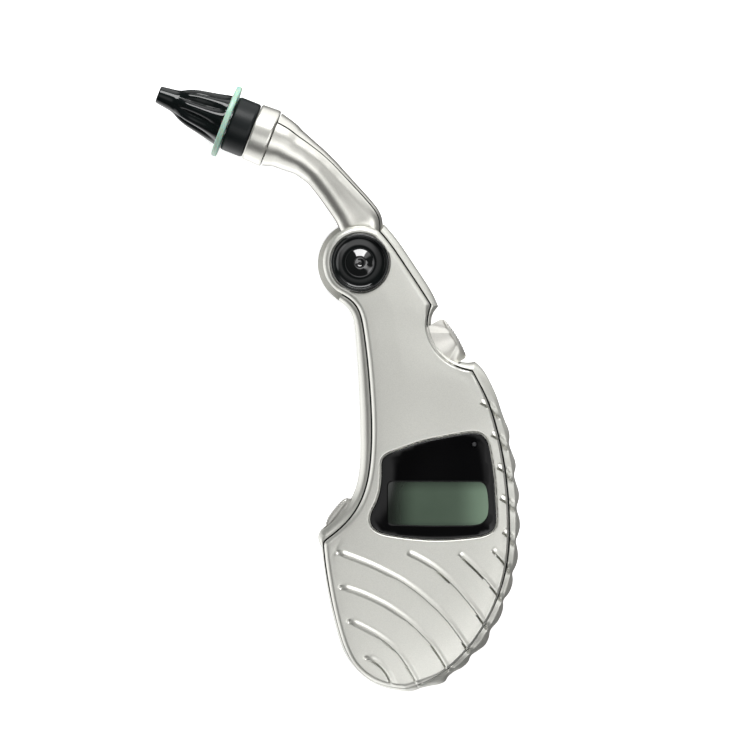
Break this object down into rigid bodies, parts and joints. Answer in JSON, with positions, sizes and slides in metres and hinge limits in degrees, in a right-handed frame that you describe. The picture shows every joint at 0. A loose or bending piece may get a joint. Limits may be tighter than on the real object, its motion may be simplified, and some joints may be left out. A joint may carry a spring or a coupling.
{
  "type": "digital ear thermometer",
  "caption": "Digital ear thermometer: broad rounded handle with ribbed face, display window and side buttons, and a folding arm that carries a fluted probe with an ear stop ring.",
  "frame": {"origin": "middle of the overall footprint at the height of the flat back, which is the face it lies on", "axes": "+Z is the outward normal of the display, +Y runs from the rounded grip end towards the knuckle and arm, +X is to the right of the display"},
  "size_m": [0.1128, 0.1876, 0.0277],
  "materials": {
    "casing_silver": "satin pearl silver paint on moulded ABS",
    "button_silver": "satin silver, moulded ribs",
    "window_black": "high gloss black acrylic",
    "cap_black": "high gloss black",
    "probe_black": "gloss black",
    "base_ring_black": "satin black",
    "ring_mint": "slightly translucent mint green",
    "lcd": "reflective LCD, grey green",
    "lens": "infrared window",
    "holder_ivory": "natural moulded plastic",
    "rubber_black": "matte silicone",
    "board_green": "solder resist",
    "chip_black": "moulded epoxy",
    "steel": "plain nickel plated steel",
    "lead_black": "insulated lead"
  },
  "bodies": {
    "handle": {"rear_shell": "casing_silver", "front_shell": "casing_silver", "display_window": "window_black", "lcd_glass": "lcd", "lcd_holder": "holder_ivory", "zebra_strip": "rubber_black", "backlight_plate": "holder_ivory", "main_board": "board_green", "microcontroller": "chip_black", "buzzer": "chip_black", "scan_switch": "chip_black", "power_switch": "chip_black", "unit_switch": "chip_black", "coin_cell": "steel", "battery_contact_minus": "steel", "battery_contact_plus": "steel", "battery_cap_seal": "rubber_black", "shell_screw_1": "steel", "shell_screw_2": "steel", "shell_screw_3": "steel", "shell_screw_4": "steel", "pivot_pin": "steel", "friction_washer": "steel", "pivot_cap": "cap_black", "sensor_lead_handle": "lead_black"},
    "arm": {"arm_rear_shell": "casing_silver", "arm_front_shell": "casing_silver", "arm_screw_1": "steel", "arm_screw_2": "steel", "sensor_lead_arm": "lead_black", "probe_cone": "probe_black", "ear_stop_ring": "ring_mint", "probe_base_ring": "base_ring_black", "arm_collar": "casing_silver", "waveguide_tube": "steel", "probe_lens": "lens", "thermopile_sensor": "steel", "sensor_board": "board_green"},
    "scan_button": {"scan_button": "button_silver"},
    "power_button": {"power_button": "button_silver"},
    "unit_button": {"unit_button": "holder_ivory"},
    "battery_cap": {"battery_cap": "casing_silver"}
  },
  "joints": [
    {"name": "arm_fold", "type": "hinge", "parent": "handle", "child": "arm", "pos_m": [0.00676, 0.03917, 0.012], "axis": [0, 0, 1], "range_deg": [0, 118]},
    {"name": "scan_button_press", "type": "slide", "parent": "handle", "child": "scan_button", "axis": [-0.856, -0.517, 0], "range_m": [0, 0.0012], "stiffness_N_per_m": 800},
    {"name": "power_button_press", "type": "slide", "parent": "handle", "child": "power_button", "axis": [0.7431, -0.6691, 0], "range_m": [0, 0.001], "stiffness_N_per_m": 800},
    {"name": "unit_button_press", "type": "slide", "parent": "handle", "child": "unit_button", "axis": [0, 0, -1], "range_m": [0, 0.00025], "stiffness_N_per_m": 800},
    {"name": "battery_cap_turn", "type": "hinge", "parent": "handle", "child": "battery_cap", "pos_m": [0.0244, -0.05942, 0.0014], "axis": [0, 0, 1], "range_deg": [0, 45]}
  ]
}
